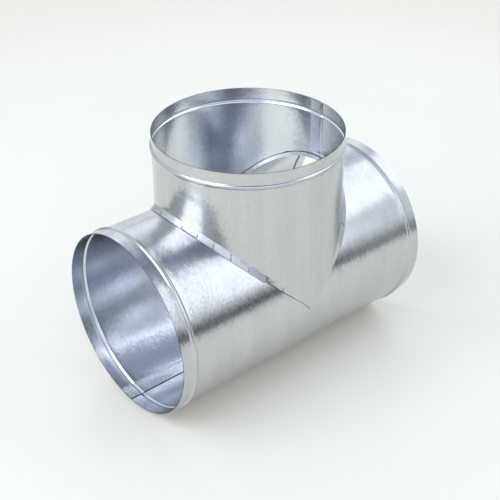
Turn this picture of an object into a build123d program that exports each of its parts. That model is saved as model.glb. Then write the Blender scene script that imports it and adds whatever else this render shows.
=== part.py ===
from build123d import *
from build123d.topology import SkipClean
from math import atan, degrees, sin
import os

os.makedirs("parts", exist_ok=True)

# Driving dimensions in millimetres
spigot_diameter = 150.0    # outside of the three plain ends, which a duct slides over
sheet = 0.6                # thickness of the galvanised sheet
run_length = 250.0         # rim to rim of the straight run
branch_height = 128.0      # axis of the run to the rim of the branch

bead_setback = 11.0        # rim to the middle of the rolled bead
bead_width = 5.0           # foot to foot of the bead
bead_height = 1.4          # crest of the bead above the plain wall

lap_width = 10.0           # stretch where the rolled sheet lies double at its seam
joggle_width = 4.0         # stretch where the inner layer steps out to the round wall

seat_gap = 0.1             # film of solder between the branch and the run
crotch_step = 0.1          # step left at the crotch between the branch's wall and its flange
bend_radius = 3.0          # outside of the bend that turns the branch's edge outwards
flange_land = 0.5          # plain strip of the flange past the bend
hole_lip = 1.0             # edge of the run's sheet that stands inside the branch's bore

slits_per_side = 15        # cuts that divide the flange into tabs, on each side of the branch
slit_zone = 70.0           # degrees from the crown of the saddle to the last slit
slit_width = 0.7           # open width of a slit
slit_start = 0.8           # distance from the branch's wall to the inner end of a slit

# Sizes that follow
radius = spigot_diameter / 2
run_half = run_length / 2
axis_height = radius + bead_height
bead_turn = 2 * atan(2 * bead_height / bead_width)
bead_radii = bead_width / 2 / sin(bead_turn)
bead_crest_radius = (bead_radii + sheet) / 2
bead_foot_radius = (bead_radii - sheet) / 2
lap_turn = degrees(lap_width / radius)
joggle_turn = degrees(joggle_width / radius)
seat_radius = radius + seat_gap
flange_radius = seat_radius + sheet
flange_reach = bend_radius + flange_land
branch_bead = branch_height - bead_setback
branch_swell = flange_radius - radius - crotch_step

# The wall's line runs along x, with the distance from the tube's axis along y
run_plane = Plane(origin=(0, 0, 0), x_dir=(1, 0, 0), z_dir=(0, 1, 0))
branch_plane = Plane(origin=(0, 0, 0), x_dir=(0, 0, 1), z_dir=(0, 1, 0))


def wall_line(start, end, beads, depth, swell):
    """Line of the wall at a depth below its outer face, swollen at its start and raised at each bead."""
    level = radius - depth
    place = (start, level + swell)
    edges = []
    for middle in beads:
        foot = (middle - bead_width / 2, level)
        rise = JernArc(foot, (1, 0), bead_foot_radius + depth, degrees(bead_turn))
        crest = JernArc(rise @ 1, rise % 1, bead_crest_radius - depth, -2 * degrees(bead_turn))
        fall = JernArc(crest @ 1, crest % 1, bead_foot_radius + depth, degrees(bead_turn))
        edges += [Line(place, foot), rise, crest, fall]
        place = fall @ 1
    edges.append(Line(place, (end, level)))
    return edges


def wall_section(start, end, beads, outer, inner, swell=0):
    """Section of the sheet between two depths below the wall's outer face."""
    top = wall_line(start, end, beads, outer, swell)
    bottom = wall_line(start, end, beads, inner, swell)
    ends = [Line(top[0] @ 0, bottom[0] @ 0), Line(top[-1] @ 1, bottom[-1] @ 1)]
    return make_face(top + bottom + ends)


def filled_section(start, end, beads, depth, swell):
    """Section of the round body inside the wall at a depth, down to its axis."""
    top = wall_line(start, end, beads, depth, swell)
    sides = [Line((start, 0), top[0] @ 0), Line(top[-1] @ 1, (end, 0))]
    return make_face(top + sides + [Line((start, 0), (end, 0))])


def lap_seam(plane, axis, start, end, beads, swell=0):
    """Inner layer of a lap seam with its joggle, and the groove that the joggle leaves outside."""
    middle = sheet / 2
    clear = bead_foot_radius / 2
    double = plane * wall_section(start, end, beads, middle, 2 * sheet, swell)
    merged = plane * wall_section(start, end, beads, middle, sheet - middle / 10, swell)
    open_side = plane * wall_section(start, end, beads, -clear, sheet, swell)
    shut_side = plane * wall_section(start, end, beads, -clear, -clear / 10, swell)
    joggle_end = lap_turn + joggle_turn
    layer = revolve(double, axis, lap_turn)
    joggle_ends = [double.rotate(axis, lap_turn).face(), merged.rotate(axis, joggle_end).face()]
    joggle = loft(joggle_ends, ruled=True)
    groove_ends = [open_side.rotate(axis, lap_turn).face(), shut_side.rotate(axis, joggle_end).face()]
    groove = loft(groove_ends, ruled=True)
    return layer + joggle, groove


def mitre_wedge(apex, half_width, top):
    """Space above two planes at 45 degrees that meet along y, as two equal round tubes do."""
    corners = [
        (0, apex),
        (half_width, apex + half_width),
        (half_width, top),
        (-half_width, top),
        (-half_width, apex + half_width),
    ]
    return extrude(Plane.XZ * make_face(Polyline(*corners, close=True)), half_width, both=True)


def crossing(branch_body, run_radius, bend):
    """Branch body standing on a round run, with the corner between them rounded."""
    body = branch_body + Cylinder(run_radius, run_length, rotation=(0, 90, 0))
    saddle = [edge for edge in body.edges() if edge.geom_type not in (GeomType.LINE, GeomType.CIRCLE)]
    return fillet(saddle, bend)


def parted(piece, reach):
    """The same piece with its faces parted at the tee's two planes of symmetry."""
    corner = Box(reach, reach, 2 * reach, align=(Align.MIN, Align.MIN, Align.CENTER))
    quarters = [piece & (Rot(0, 0, turn) * corner) for turn in (0, 90, 180, 270)]
    with SkipClean():
        return quarters[0] + quarters[1:]


# Space around the branch, wide enough for its flange and higher than its rim
zone_half = radius + 2 * flange_reach
zone_top = branch_height + flange_reach

# Straight run: a rolled sheet, lapped along its lowest line, with a saddle hole under the branch
run_beads = [bead_setback - run_half, run_half - bead_setback]
run_wall = revolve(run_plane * wall_section(-run_half, run_half, run_beads, 0, sheet), Axis.X)
run_lap, run_groove = lap_seam(run_plane, Axis.X, -run_half, run_half, run_beads)
run_tube = run_wall + run_lap - run_groove - mitre_wedge(sheet + hole_lip, zone_half, zone_top)

# Branch: a rolled sheet, a little wider at its foot, which turns out into a flange on the run
outside = filled_section(0, branch_height, [branch_bead], 0, branch_swell)
inside = filled_section(0, zone_top, [branch_bead], sheet, branch_swell)
branch_outside = crossing(revolve(branch_plane * outside, Axis.Z), flange_radius, bend_radius)
branch_inside = crossing(revolve(branch_plane * inside, Axis.Z), seat_radius, bend_radius + sheet)
flange_drop = flange_reach + radius - flange_radius
branch_sheet = (branch_outside - branch_inside) & mitre_wedge(-flange_drop, zone_half, zone_top)

# Lap seam of the branch, on the crown of the saddle, from the bend up to the rim, lapped clockwise
seam_foot = flange_radius + bend_radius
seam_swell = branch_swell * (1 - seam_foot / (branch_bead - bead_width / 2))
branch_seam = lap_seam(branch_plane, Axis.Z, seam_foot, branch_height, [branch_bead], seam_swell)
branch_lap, branch_groove = (layer.mirror(Plane.XZ) for layer in branch_seam)

# Slits that part the flange into tabs, from its edge to the bend
slit = Pos(radius + slit_start, 0, 0) * Box(
    2 * flange_reach, slit_width, seam_foot, align=(Align.MIN, Align.CENTER, Align.MIN)
)
slit_step = 2 * slit_zone / (slits_per_side - 1)
slits = [
    Rot(0, 0, side + number * slit_step - slit_zone) * slit
    for side in (0, 180)
    for number in range(slits_per_side)
]
branch_collar = parted(branch_sheet + branch_lap - branch_groove - slits, zone_half + zone_top)

# The tee stands on the beads of its run, with the branch upwards
for name, piece in (("run_tube", run_tube), ("branch_collar", branch_collar)):
    export_step(Pos(0, 0, axis_height) * piece, f"parts/{name}.step")
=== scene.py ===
import math
import random

import bmesh
import bpy
from mathutils import Matrix, Vector, noise


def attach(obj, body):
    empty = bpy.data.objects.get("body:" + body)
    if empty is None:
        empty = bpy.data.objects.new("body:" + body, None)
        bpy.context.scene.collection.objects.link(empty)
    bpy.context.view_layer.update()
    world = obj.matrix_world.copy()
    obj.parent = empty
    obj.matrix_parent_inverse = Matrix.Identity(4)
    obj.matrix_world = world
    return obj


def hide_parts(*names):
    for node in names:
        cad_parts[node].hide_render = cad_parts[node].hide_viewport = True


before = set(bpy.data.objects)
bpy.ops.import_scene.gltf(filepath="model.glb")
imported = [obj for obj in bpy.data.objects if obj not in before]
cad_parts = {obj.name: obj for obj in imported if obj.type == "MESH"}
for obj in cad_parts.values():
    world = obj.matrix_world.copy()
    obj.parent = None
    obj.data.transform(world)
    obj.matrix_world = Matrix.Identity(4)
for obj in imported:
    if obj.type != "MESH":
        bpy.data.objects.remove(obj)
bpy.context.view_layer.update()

mm = 0.001

# Sheet metal: sizes in millimetres, about the point where the two axes cross
radius = 75.0
sheet = 0.6
run_half = 125.0
branch_height = 128.0
axis_height = 76.4
bead_setback = 11.0
bead_width = 5.0
bead_height = 1.4

# Lap seams: the inner layer lies under the outer one and steps out to the round wall over the joggle
lap_degrees = 7.5
joggle_degrees = 3.0
lap_clearance = 0.06
lap_depth = sheet + lap_clearance
branch_lap_turn = 5.5

# The rolled bead: two foot arcs that meet a crest arc, as a pair of rollers presses it
bead_turn = 2 * math.degrees(math.atan(2 * bead_height / bead_width))
bead_radii = bead_width / 2 / math.sin(math.radians(bead_turn))
crest_radius = (bead_radii + sheet) / 2
foot_radius = (bead_radii - sheet) / 2
foot_steps = 5

# The run's saddle hole, with its edge turned up into a lip inside the branch
hole_edge = 0.7
lip_height = 3.4
lip_radius = 74.35
saddle_overlap = 4.0

# The branch's foot: a wall that swells a little, and a flange that thins out towards its edge
skirt_top = 84.0
plain_top = branch_height - bead_setback - bead_width / 2
foot_swell = 0.6
seat_gap = 0.15
feather = 0.6
flange_radius = radius + seat_gap + sheet
rim_radius = radius + seat_gap + sheet * (1 - feather)
flange_out = 3.5
flange_up = 3.2
crotch_tongue = 1.5
crotch_width = 5.0

# Past this turn from the crown the flange is trimmed, by a share that grows towards the crotch
trim_start = 60.0
trim_first = 0.3
trim_growth = 0.4
bend_trim = 0.5

# Tabs between the slits, with the ranges of their lift, of their hollow and of where a slit begins
tab_degrees = 10.0
slit_degrees = 0.5
last_slit = 70.0
tab_lift = (0.0, 0.15)
tab_hollow = (0.15, 0.35)
slit_begin = (1.15, 1.75)
hammer_seed = 12

# Rows of points down the branch's foot: 0 is the top of the skirt, 1 the bend and 2 the flange's edge
bend_row = 1.0
edge_row = 2.0
foot_rows = (0.25, 0.5, 0.75, bend_row, 1.15, 1.3, 1.45, 1.6, 1.75, 1.88, edge_row)

# Waves and dents of the sheet: length, height and seed
run_wave = (42.0, 0.10, 3.0)
seam_wave = (20.0, 0.05, 11.0)
branch_wave = (40.0, 0.08, 7.0)
small_dent = (4.5, 0.13, 5.0)
large_dent = (9.0, 0.13, 8.0)
solder_smear = (6.0, 0.7, 14.0)

# The waves fade out before the stiff beads and rims, and those at the saddle away from it
wave_end = 15.0
wave_fade = 20.0
seam_reach = 22.0

# Spacing of points up a plain wall in millimetres, and round each tube in degrees
wall_spacing = 5.0
run_column = 1.0
branch_column = slit_degrees

# Distances under which two points count as one, and as being on a line
merge_distance = 0.001
line_distance = 0.01


def linear(hex_colour):
    """An sRGB hex value as the linear colour that a shader takes."""
    colour = []
    for start in (1, 3, 5):
        level = int(hex_colour[start:start + 2], 16) / 255
        colour.append(level / 12.92 if level <= 0.04045 else ((level + 0.055) / 1.055) ** 2.4)
    return (*colour, 1.0)


def add(tree, kind, links=None, **settings):
    """Adds one node to a tree, with its settings, its values and the sockets that feed it."""
    made = tree.nodes.new(kind)
    for name, value in settings.items():
        setattr(made, name, value)
    for socket, source in (links or {}).items():
        if isinstance(source, bpy.types.NodeSocket):
            tree.links.new(source, made.inputs[socket])
        else:
            made.inputs[socket].default_value = source
    return made


def new_material(name):
    """An empty material and its node tree."""
    material = bpy.data.materials.new(name)
    material.use_nodes = True
    material.node_tree.nodes.clear()
    return material, material.node_tree


def galvanised_steel(name, dull_zinc, bright_zinc):
    """Hot-dip galvanised steel sheet, skin-passed: a grey zinc coat with a semi-gloss shine. Fine
    crystals about 2 mm long and half as wide along the run catch the light a little differently from
    one to the next, and faint streaks run down where the zinc drained off in the bath."""
    crystal_size = 1.8 * mm
    crystal_narrowing = 2.2
    crystal_edge = 0.6 * mm
    edge_grain = 2.2 * mm
    crystal_tilt = 0.03
    crystal_share = 0.4
    drain_width = 9.0 * mm
    drain_length = 130.0 * mm
    darkest_shade = 0.35
    palest_shade = 1.05
    smoothest = 0.18
    roughest = 0.24
    sheet_wave = 38.0 * mm
    wave_height = 0.12 * mm
    material, tree = new_material(name)
    place = add(tree, "ShaderNodeTexCoord")
    ragged = add(tree, "ShaderNodeTexNoise", {
        "Vector": place.outputs["Object"], "Scale": 1 / edge_grain, "Detail": 2.0})
    shifted = add(tree, "ShaderNodeVectorMath", {
        0: ragged.outputs["Color"], 1: (crystal_edge,) * 3, 2: place.outputs["Object"]},
        operation="MULTIPLY_ADD")
    narrowed = add(tree, "ShaderNodeMapping", {
        "Vector": shifted.outputs["Vector"], "Scale": (crystal_narrowing, 1.0, 1.0)})
    spangle = add(tree, "ShaderNodeTexVoronoi", {
        "Vector": narrowed.outputs["Vector"], "Scale": 1 / crystal_size})
    crystal = add(tree, "ShaderNodeSeparateColor", {"Color": spangle.outputs["Color"]})
    drained = add(tree, "ShaderNodeMapping", {
        "Vector": place.outputs["Object"], "Scale": (1.0, 1.0, drain_width / drain_length)})
    drains = add(tree, "ShaderNodeTexNoise", {
        "Vector": drained.outputs["Vector"], "Scale": 1 / drain_width, "Detail": 2.0})
    shade = add(tree, "ShaderNodeMath", {
        0: crystal.outputs["Red"], 1: crystal_share, 2: drains.outputs["Fac"]},
        operation="MULTIPLY_ADD")
    tone = add(tree, "ShaderNodeMapRange", {
        "Value": shade.outputs["Value"], "From Min": darkest_shade, "From Max": palest_shade})
    colour = add(tree, "ShaderNodeMix", {
        "Factor": tone.outputs["Result"], "A": linear(dull_zinc), "B": linear(bright_zinc)},
        data_type="RGBA")
    gloss = add(tree, "ShaderNodeMapRange", {
        "Value": crystal.outputs["Green"], "To Min": smoothest, "To Max": roughest})
    waves = add(tree, "ShaderNodeTexNoise", {
        "Vector": place.outputs["Object"], "Scale": 1 / sheet_wave, "Detail": 1.0})
    relief = add(tree, "ShaderNodeBump", {
        "Height": waves.outputs["Fac"], "Strength": 1.0, "Distance": wave_height})
    tilt = add(tree, "ShaderNodeVectorMath", {
        0: spangle.outputs["Color"], 1: (0.5, 0.5, 0.5)}, operation="SUBTRACT")
    facet = add(tree, "ShaderNodeVectorMath", {
        0: tilt.outputs["Vector"], 1: (crystal_tilt,) * 3, 2: relief.outputs["Normal"]},
        operation="MULTIPLY_ADD")
    facing = add(tree, "ShaderNodeVectorMath", {0: facet.outputs["Vector"]}, operation="NORMALIZE")
    zinc = add(tree, "ShaderNodeBsdfPrincipled", {
        "Base Color": colour.outputs["Result"], "Metallic": 1.0,
        "Roughness": gloss.outputs["Result"], "Normal": facing.outputs["Vector"]})
    add(tree, "ShaderNodeOutputMaterial", {"Surface": zinc.outputs["BSDF"]})
    return material


def wiped_solder():
    """Soft solder wiped over the hammered tabs: more matt than the zinc, with uneven smears."""
    smear = 3.0 * mm
    ripple = 1.6 * mm
    ripple_height = 0.08 * mm
    dull_roughness = 0.44
    bright_roughness = 0.32
    material, tree = new_material("wiped_soft_solder")
    place = add(tree, "ShaderNodeTexCoord")
    smears = add(tree, "ShaderNodeTexNoise", {
        "Vector": place.outputs["Object"], "Scale": 1 / smear, "Detail": 2.0})
    colour = add(tree, "ShaderNodeMix", {
        "Factor": smears.outputs["Fac"], "A": linear("#B6B7BA"), "B": linear("#CACBCE")},
        data_type="RGBA")
    gloss = add(tree, "ShaderNodeMapRange", {
        "Value": smears.outputs["Fac"], "To Min": dull_roughness, "To Max": bright_roughness})
    ripples = add(tree, "ShaderNodeTexNoise", {
        "Vector": place.outputs["Object"], "Scale": 1 / ripple})
    relief = add(tree, "ShaderNodeBump", {
        "Height": ripples.outputs["Fac"], "Strength": 1.0, "Distance": ripple_height})
    solder = add(tree, "ShaderNodeBsdfPrincipled", {
        "Base Color": colour.outputs["Result"], "Metallic": 1.0,
        "Roughness": gloss.outputs["Result"], "Normal": relief.outputs["Normal"]})
    add(tree, "ShaderNodeOutputMaterial", {"Surface": solder.outputs["BSDF"]})
    return material


def satin_laminate():
    """Pale laminated board under the tee: a soft sheen, a faint cloudiness and the tee's shadow. It
    fades out into the room before its edge."""
    cloud = 400.0 * mm
    fade_start = 550.0 * mm
    fade_end = 950.0 * mm
    material, tree = new_material("pale_satin_laminate")
    place = add(tree, "ShaderNodeTexCoord")
    clouds = add(tree, "ShaderNodeTexNoise", {
        "Vector": place.outputs["Object"], "Scale": 1 / cloud})
    colour = add(tree, "ShaderNodeMix", {
        "Factor": clouds.outputs["Fac"], "A": linear("#F8F4E4"), "B": linear("#F5F1E1")},
        data_type="RGBA")
    board = add(tree, "ShaderNodeBsdfPrincipled", {
        "Base Color": colour.outputs["Result"], "Roughness": 0.32})
    outwards = add(tree, "ShaderNodeVectorMath", {0: place.outputs["Object"]}, operation="LENGTH")
    fade = add(tree, "ShaderNodeMapRange", {
        "Value": outwards.outputs["Value"], "From Min": fade_start, "From Max": fade_end},
        interpolation_type="SMOOTHSTEP")
    clear = add(tree, "ShaderNodeBsdfTransparent")
    edge = add(tree, "ShaderNodeMixShader", {
        "Fac": fade.outputs["Result"], 1: board.outputs["BSDF"], 2: clear.outputs["BSDF"]})
    add(tree, "ShaderNodeOutputMaterial", {"Surface": edge.outputs["Shader"]})
    return material


def sheared_edge_and_crevice_shade():
    """Edge of the sheet as the shears leave it: bare steel, duller than the zinc, and painted darker as
    painted shade for the crevices along the edges.
    """
    shear_mark = 0.8 * mm
    material, tree = new_material("sheared_steel_edge_and_painted_shade")
    place = add(tree, "ShaderNodeTexCoord")
    marks = add(tree, "ShaderNodeTexNoise", {
        "Vector": place.outputs["Object"], "Scale": 1 / shear_mark, "Detail": 2.0})
    # The dark grey is partly the bare steel's own colour and partly painted shade of the crevices along
    # the edges
    colour = add(tree, "ShaderNodeMix", {
        "Factor": marks.outputs["Fac"], "A": linear("#3E4046"), "B": linear("#5C5E64")},
        data_type="RGBA")
    steel = add(tree, "ShaderNodeBsdfPrincipled", {
        "Base Color": colour.outputs["Result"], "Metallic": 1.0, "Roughness": 0.45})
    add(tree, "ShaderNodeOutputMaterial", {"Surface": steel.outputs["BSDF"]})
    return material


def ease(share):
    """A share of a step, with a soft start and a soft end."""
    share = min(max(share, 0.0), 1.0)
    return share * share * (3 - 2 * share)


def wavy(point, wave, height, seed):
    """How far a point of the sheet stands out, for waves of a length and height."""
    return height * noise.noise(Vector(point) / wave + Vector((seed, seed, seed)))


def sweep(shape, geometry, steps, centre=(0, 0, 0), axis=(0, 0, 1), degrees=0.0, climb=0.0):
    """Sweeps geometry round an axis, or up by a climb, and gives back its far end."""
    swept = bmesh.ops.spin(
        shape, geom=geometry, cent=centre, axis=axis, dvec=(0, 0, climb / steps),
        angle=math.radians(degrees), space=Matrix(), steps=steps, use_merge=False,
        use_normal_flip=False, use_duplicate=False)
    return swept["geom_last"]


def straight_wall(shape, start, height):
    """Draws the plain wall from a point up to a height, and gives back its last point."""
    climb = height - start.co.z
    return sweep(shape, [start], math.ceil(climb / wall_spacing), climb=climb)[0]


def rolled_tube(bottom, top, beads, column, way):
    """A standing tube rolled from one beaded sheet, whose first edge lies inside its last one along +X.
    The way is 1 or -1, for a sheet that goes round to the left or right. Gives the shape and the points
    of the inner layer."""
    shape = bmesh.new()
    shape.verts.layers.float.new("thinned")
    here = shape.verts.new((radius, 0, bottom))
    for middle in beads:
        low, high = middle - bead_width / 2, middle + bead_width / 2
        here = straight_wall(shape, here, low)
        arcs = (
            ((radius + foot_radius, 0, low), bead_turn, foot_steps),
            ((radius + bead_height - crest_radius, 0, middle), -2 * bead_turn, 2 * foot_steps),
            ((radius + foot_radius, 0, high), bead_turn, foot_steps))
        for centre, turn, steps in arcs:
            here = sweep(shape, [here], steps, centre, (0, 1, 0), turn)[0]
    straight_wall(shape, here, top)
    edge_line = shape.verts[:] + shape.edges[:]
    stretches = []
    for turn in (lap_degrees, joggle_degrees, 360 - joggle_degrees):
        edge_line = sweep(shape, edge_line, round(turn / column), degrees=way * turn)
        stretches.append(set(shape.verts))
    inner_layer, with_joggle = stretches[:2]
    for point in with_joggle:
        turn = way * math.degrees(math.atan2(point.co.y, point.co.x))
        flat = radius / 2 * math.radians(turn) * math.radians(lap_degrees - turn)
        depth = lap_depth * (1 - ease((turn - lap_degrees) / joggle_degrees)) + max(flat, 0.0)
        point.co.xy *= 1 - depth / radius
    return shape, inner_layer


def thicken(shape):
    """Gives the sheet its thickness inwards. The inside gets a paler copy of the zinc, painted light for
    the shaded bores, and the sheared edges a dark finish of their own, partly bare steel and partly
    painted crevice shade; the edges stay crisp."""
    bmesh.ops.recalc_face_normals(shape, faces=shape.faces)
    shape.normal_update()
    thinned = shape.verts.layers.float["thinned"]
    outwards = shape.verts.layers.float_vector.new("outwards")
    for point in shape.verts:
        point[outwards] = point.normal * sheet * (1 - point[thinned])
    outside = set(shape.faces)
    copied = bmesh.ops.extrude_face_region(shape, geom=shape.faces[:], use_keep_orig=True)["geom"]
    inside = {part for part in copied if isinstance(part, bmesh.types.BMFace)}
    for part in copied:
        if isinstance(part, bmesh.types.BMVert):
            part.co -= part[outwards]
    bmesh.ops.recalc_face_normals(shape, faces=shape.faces)
    for face in shape.faces:
        face.smooth = True
        # Inside faces take the paler copy of the zinc, painted light for the shaded bores
        if face in inside:
            face.material_index = inside_painted_light_finish
        # Sheared edge faces take the dark edge finish: bare steel and painted crevice shade
        elif face not in outside:
            face.material_index = edge_and_painted_shade_finish
            for edge in face.edges:
                edge.smooth = False
    shape.verts.layers.float_vector.remove(outwards)
    shape.verts.layers.float.remove(thinned)


def finish_piece(shape, name, node):
    """Makes the shape an object in the frame's place and scale that stands for a node."""
    thicken(shape)
    bmesh.ops.translate(shape, vec=(0, 0, axis_height), verts=shape.verts)
    bmesh.ops.scale(shape, vec=(mm, mm, mm), verts=shape.verts)
    mesh = bpy.data.meshes.new(name)
    shape.to_mesh(mesh)
    shape.free()
    for finish in sheet_finishes:
        mesh.materials.append(finish)
    piece = bpy.data.objects.new(name, mesh)
    bpy.context.scene.collection.objects.link(piece)
    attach(piece, "root")
    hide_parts(node)
    return piece


# The outside has the zinc's grey, and the inside is a paler copy of the same zinc: painted light that
# brightens the shaded inside of the bores
outside_finish, edge_and_painted_shade_finish, inside_painted_light_finish, solder_finish = range(4)
sheet_finishes = (
    galvanised_steel("galvanised_steel_outside", "#BEBFC0", "#CBCCCC"),
    sheared_edge_and_crevice_shade(),
    galvanised_steel("galvanised_steel_inside_painted_light", "#D5D8DD", "#DFE2E6"),
    wiped_solder(),
)

# Straight run: rolled standing up, and laid down with its seam lowest
run_beads = [bead_setback - run_half, run_half - bead_setback]
run_shape, _ = rolled_tube(-run_half, run_half, run_beads, run_column, 1)
laid_down = Matrix.Rotation(math.pi / 2, 3, "Y")
bmesh.ops.rotate(run_shape, cent=(0, 0, 0), matrix=laid_down, verts=run_shape.verts)
for point in run_shape.verts:
    free = ease((run_half - wave_end - abs(point.co.x)) / wave_fade)
    near_seam = ease(1 - abs(point.co.z - abs(point.co.x)) / seam_reach)
    swell = wavy(point.co, *run_wave) + near_seam * wavy(point.co, *seam_wave)
    point.co.yz *= 1 + free * swell / radius

# The saddle hole: cut along two planes at 45 degrees, opened, and its edge turned up into the branch
for side in (1, -1):
    saddle_faces = []
    for face in run_shape.faces:
        middle = face.calc_center_median()
        if middle.z > 0 and side * middle.x > -saddle_overlap:
            saddle_faces.append(face)
    saddle_edges = dict.fromkeys(edge for face in saddle_faces for edge in face.edges)
    saddle_points = dict.fromkeys(point for face in saddle_faces for point in face.verts)
    bmesh.ops.bisect_plane(
        run_shape, geom=[*saddle_faces, *saddle_edges, *saddle_points], dist=merge_distance,
        plane_co=(0, 0, hole_edge), plane_no=(-side, 0, 1))
opened = [
    face for face in run_shape.faces
    if face.calc_center_median().z > abs(face.calc_center_median().x) + hole_edge]
bmesh.ops.delete(run_shape, geom=opened, context="FACES")
hole_line = []
for edge in run_shape.edges:
    off_line = [abs(point.co.z - abs(point.co.x) - hole_edge) for point in edge.verts]
    if edge.is_boundary and max(off_line) < line_distance:
        hole_line.append(edge)
for edge in hole_line:
    edge.smooth = False
for part in bmesh.ops.extrude_edge_only(run_shape, edges=hole_line)["geom"]:
    if isinstance(part, bmesh.types.BMVert):
        part.co.xy *= lip_radius / part.co.xy.length
        part.co.z += lip_height
finish_piece(run_shape, "run_sheet", "run_tube")

# Tabs of the branch's flange, each hammered down a little differently
hammer = random.Random(hammer_seed)
tabs = []
for number in range(int(360 / tab_degrees)):
    tabs.append({
        "lift": hammer.uniform(*tab_lift), "hollow": hammer.uniform(*tab_hollow),
        "slit_begin": hammer.uniform(*slit_begin)})


def foot_point(turn, row):
    """A point of the branch's foot at a turn from +X, in a row from the skirt to the flange's edge."""
    across, along = math.cos(turn), math.sin(turn)
    side = math.copysign(1.0, across)
    from_crown = math.acos(min(abs(across), 1.0))
    past_trim = math.degrees(from_crown) - trim_start
    trim = ease(past_trim) * (trim_first + trim_growth * past_trim / (90 - trim_start))
    swollen = radius + foot_swell * (1 - radius * abs(across) / plain_top)
    corner = Vector((swollen * across, flange_radius * along, flange_radius * abs(across)))
    smeared = wavy(corner, *solder_smear) * (1 - ease(past_trim + 1))
    bend_height = corner.z + flange_up * (1 - bend_trim * trim) + smeared
    bend = Vector((swollen * across, swollen * along, bend_height))
    if row <= bend_row:
        height = skirt_top + (bend.z - skirt_top) * row
        wall = radius + foot_swell * (1 - height / plain_top)
        return Vector((wall * across, wall * along, height))
    tab = tabs[int(math.degrees(turn) % 360 / tab_degrees)]
    share = row - bend_row
    in_crotch = ease(1 - abs(corner.x) / crotch_width)
    reach = flange_out * (1 - trim) + crotch_tongue * in_crotch
    outwards = Vector((side * (1 - in_crotch), math.sin(from_crown))).normalized() * reach
    rim_turn = from_crown + outwards.y / rim_radius
    rim_across = math.copysign(math.sin(rim_turn), along) * rim_radius
    rim = Vector((corner.x + outwards.x, rim_across, math.cos(rim_turn) * rim_radius))
    hollow = (bend + rim) / 2 + (corner - (bend + rim) / 2) * tab["hollow"]
    place = bend * (1 - share) ** 2 + hollow * 2 * share * (1 - share) + rim * share ** 2
    facing = Vector((across, 2 * along, abs(across))).normalized()
    beaten = wavy(place, *small_dent) + wavy(place, *large_dent)
    return place + facing * (tab["lift"] * share ** 2 + beaten * math.sin(math.pi * share))


# Branch: rolled standing, with its seam turned to its place
branch_shape, branch_inner_layer = rolled_tube(
    skirt_top, branch_height, [branch_height - bead_setback], branch_column, -1)
seam_place = Matrix.Rotation(math.radians(branch_lap_turn), 3, "Z")
bmesh.ops.rotate(branch_shape, cent=(0, 0, 0), matrix=seam_place, verts=branch_shape.verts)

# The seam's inner layer goes straight down behind the bend, and the rest of the edge becomes the foot
skirt_edge = [
    edge for edge in branch_shape.edges
    if all(abs(point.co.z - skirt_top) < merge_distance for point in edge.verts)]
inner_edge = [edge for edge in skirt_edge if branch_inner_layer.issuperset(edge.verts)]
for part in bmesh.ops.extrude_edge_only(branch_shape, edges=inner_edge)["geom"]:
    if isinstance(part, bmesh.types.BMVert):
        part.co.z = radius + 2 * flange_up
edge_line = [edge for edge in skirt_edge if edge not in inner_edge]

# The foot: drawn down to the saddle and out into tabs, with solder on them and, past them, a dark edge:
# bare steel on its cut face, and on one side of each crotch a strip of painted shade for the crevice
# under it
thinned = branch_shape.verts.layers.float["thinned"]
slit_faces = []
for row in foot_rows:
    drawn = bmesh.ops.extrude_edge_only(branch_shape, edges=edge_line)["geom"]
    drawn_points = {part for part in drawn if isinstance(part, bmesh.types.BMVert)}
    drawn_edges = [part for part in drawn if isinstance(part, bmesh.types.BMEdge)]
    drawn_faces = [part for part in drawn if isinstance(part, bmesh.types.BMFace)]
    for point in drawn_points:
        point.co = foot_point(math.atan2(point.co.y, point.co.x), row)
        point[thinned] = feather * max(row - bend_row, 0.0) ** 2
    edge_line = [edge for edge in drawn_edges if drawn_points.issuperset(edge.verts)]
    for edge in edge_line:
        edge.smooth = row != bend_row
    for face in drawn_faces:
        middle = face.calc_center_median()
        from_crown = math.degrees(math.atan2(abs(middle.y), abs(middle.x)))
        from_slit = abs((from_crown + tab_degrees / 2) % tab_degrees - tab_degrees / 2)
        in_slit = from_slit < slit_degrees / 2 and from_crown < last_slit + slit_degrees
        nearest = tabs[round(math.degrees(math.atan2(middle.y, middle.x)) / tab_degrees) % len(tabs)]
        if in_slit and row > nearest["slit_begin"]:
            slit_faces.append(face)
        # On one side of each crotch the outer strip along the trimmed flange's edge takes the dark edge
        # finish: painted shade for the crevice line under the edge
        elif row == edge_row and from_crown > trim_start and middle.x * middle.y > 0:
            face.material_index = edge_and_painted_shade_finish
        elif row > bend_row and from_crown < trim_start:
            face.material_index = solder_finish
bmesh.ops.delete(branch_shape, geom=slit_faces, context="FACES")
foot_points = [point for point in branch_shape.verts if point.co.z < skirt_top - line_distance]
bmesh.ops.remove_doubles(branch_shape, verts=foot_points, dist=merge_distance)
for point in branch_shape.verts:
    free = ease((branch_height - wave_end - point.co.z) / wave_fade)
    point.co.xy *= 1 + free * wavy(point.co, *branch_wave) / radius
branch = finish_piece(branch_shape, "branch_sheet", "branch_collar")

# The lap's upright edge and the edges of the soldered tabs are coated, so they keep the zinc and don't
# take the dark edge finish with its painted shade
upright = 0.5
tab_end = radius * math.cos(math.radians(trim_start))
for face in branch.data.polygons:
    face_height = face.center.z / mm - axis_height
    coated_lap = face_height > skirt_top and abs(face.normal.z) < upright
    coated_tab = face_height < skirt_top and abs(face.center.x) / mm > tab_end
    if face.material_index == edge_and_painted_shade_finish and (coated_lap or coated_tab):
        face.material_index = outside_finish

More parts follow.
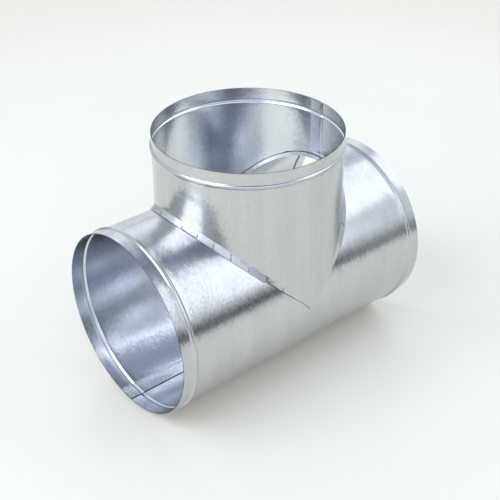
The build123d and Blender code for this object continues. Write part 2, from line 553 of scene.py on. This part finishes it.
# Floor: one wide pale board just under the beads that the tee lies on
board_radius = 1.5
board_corners = 96
board_gap = 0.2 * mm
floor_mesh = bpy.data.meshes.new("floor")
board_shape = bmesh.new()
bmesh.ops.create_circle(board_shape, cap_ends=True, segments=board_corners, radius=board_radius)
bmesh.ops.translate(board_shape, vec=(0, 0, -board_gap), verts=board_shape.verts)
board_shape.to_mesh(floor_mesh)
board_shape.free()
floor = bpy.data.objects.new("floor", floor_mesh)
floor_mesh.materials.append(satin_laminate())
bpy.context.scene.collection.objects.link(floor)

# Lamps: azimuth and elevation in degrees, width and height in metres, and brightness
crossing = Vector((0.0, 0.0, axis_height * mm))
lamp_distance = 1.6
lamp_colour = linear("#EDF3FF")[:3]
lamps = (
    ("softbox_right", 70, 47, 1.5, 0.72, 1.12),
    ("striplight_right", 33, 27, 0.32, 0.8, 1.15),
    ("softbox_left", -96, 45, 1.25, 1.0, 3.3),
    ("softbox_front", -20, 30, 1.8, 0.75, 0.7),
    ("softbox_back", 150, 28, 1.6, 0.6, 0.5),
    ("reflector_back", 125, 2, 3.2, 0.45, 0.55),
    ("reflector_right", 54, 2, 1.04, 0.36, 0.32),
)


def direction(azimuth, elevation):
    """The direction at an azimuth and elevation in degrees. Azimuth 0 is -Y, and it grows towards +X."""
    turn, tilt = math.radians(azimuth), math.radians(elevation)
    return Vector((math.sin(turn) * math.cos(tilt), -math.cos(turn) * math.cos(tilt), math.sin(tilt)))


def studio_lamp(name, azimuth, elevation, width, height, brightness):
    """A flat lamp that faces the tee. Its brightness is what a mirror would show of it, where 1 is
    white."""
    lamp = bpy.data.lights.new(name, "AREA")
    lamp.shape = "RECTANGLE"
    lamp.size = width
    lamp.size_y = height
    lamp.energy = brightness * math.pi * width * height
    lamp.color = lamp_colour
    towards = direction(azimuth, elevation)
    holder = bpy.data.objects.new(name, lamp)
    holder.location = crossing + towards * lamp_distance
    holder.rotation_euler = towards.to_track_quat("Z", "Y").to_euler()
    bpy.context.scene.collection.objects.link(holder)


for lamp_row in lamps:
    studio_lamp(*lamp_row)

# Room: pale walls under a grey-blue ceiling, with a dark screen at the front right, which the run shows
# as its dark band
screen_azimuth = 30
screen_edge = 0.80
screen_full = 0.95
world = bpy.data.worlds.new("studio")
world.use_nodes = True
room = world.node_tree
room.nodes.clear()
look = add(room, "ShaderNodeTexCoord")
look_parts = add(room, "ShaderNodeSeparateXYZ", {"Vector": look.outputs["Generated"]})
look_height = add(room, "ShaderNodeMapRange", {"Value": look_parts.outputs["Z"], "From Min": -1.0})


def room_wall(horizon):
    """The room's colours from its floor to its ceiling, with one colour at the horizon."""
    wall = add(room, "ShaderNodeValToRGB", {"Fac": look_height.outputs["Result"]})
    stops = (
        (0.405, "#EFEFEA"), (0.445, horizon), (0.498, horizon), (0.59, "#EEF5FF"), (0.86, "#EAF3FF"),
        (0.93, "#9CA9C0"), (1.0, "#8491A9"))
    while len(wall.color_ramp.elements) < len(stops):
        wall.color_ramp.elements.new(1.0)
    for stop, (position, colour) in zip(wall.color_ramp.elements, stops):
        stop.position = position
        stop.color = linear(colour)
    return wall.outputs["Color"]


to_screen = add(room, "ShaderNodeVectorMath", {
    0: look.outputs["Generated"], 1: direction(screen_azimuth, 0)}, operation="DOT_PRODUCT")
screened = add(room, "ShaderNodeMapRange", {
    "Value": to_screen.outputs["Value"], "From Min": screen_edge, "From Max": screen_full},
    interpolation_type="SMOOTHSTEP")
walls = add(room, "ShaderNodeMix", {
    "Factor": screened.outputs["Result"], "A": room_wall("#B8BBC0"), "B": room_wall("#2C2E33")},
    data_type="RGBA")
glow = add(room, "ShaderNodeBackground", {"Color": walls.outputs["Result"], "Strength": 1.0})
add(room, "ShaderNodeOutputWorld", {"Surface": glow.outputs["Background"]})
bpy.context.scene.world = world

# Camera: the photograph's place, worked out from the two ends of the run and the branch. Distances are
# in radii of the tee, and the focal length and the photograph's width are in pixels
view_azimuth = -40.136
view_elevation = 32.656
view_roll = math.radians(-0.3225)
view_distance = 11.624
view_right = 0.0119
view_up = 0.1824
focal_pixels = 1044.5
photo_width = 500
sensor_width = 36.0
back = direction(view_azimuth, view_elevation)
level = Vector((math.cos(math.radians(view_azimuth)), math.sin(math.radians(view_azimuth)), 0.0))
above = back.cross(level)
right = math.cos(view_roll) * level + math.sin(view_roll) * above
up = math.cos(view_roll) * above - math.sin(view_roll) * level
camera_place = crossing + (back * view_distance + right * view_right + up * view_up) * radius * mm
lens = bpy.data.cameras.new("camera")
lens.sensor_width = sensor_width
lens.lens = sensor_width * focal_pixels / photo_width
lens.clip_start = 0.01
camera = bpy.data.objects.new("camera", lens)
camera.matrix_world = Matrix.Translation(camera_place) @ Matrix((right, up, back)).transposed().to_4x4()
bpy.context.scene.collection.objects.link(camera)
bpy.context.scene.camera = camera

bpy.context.scene.view_settings.view_transform = "Standard"
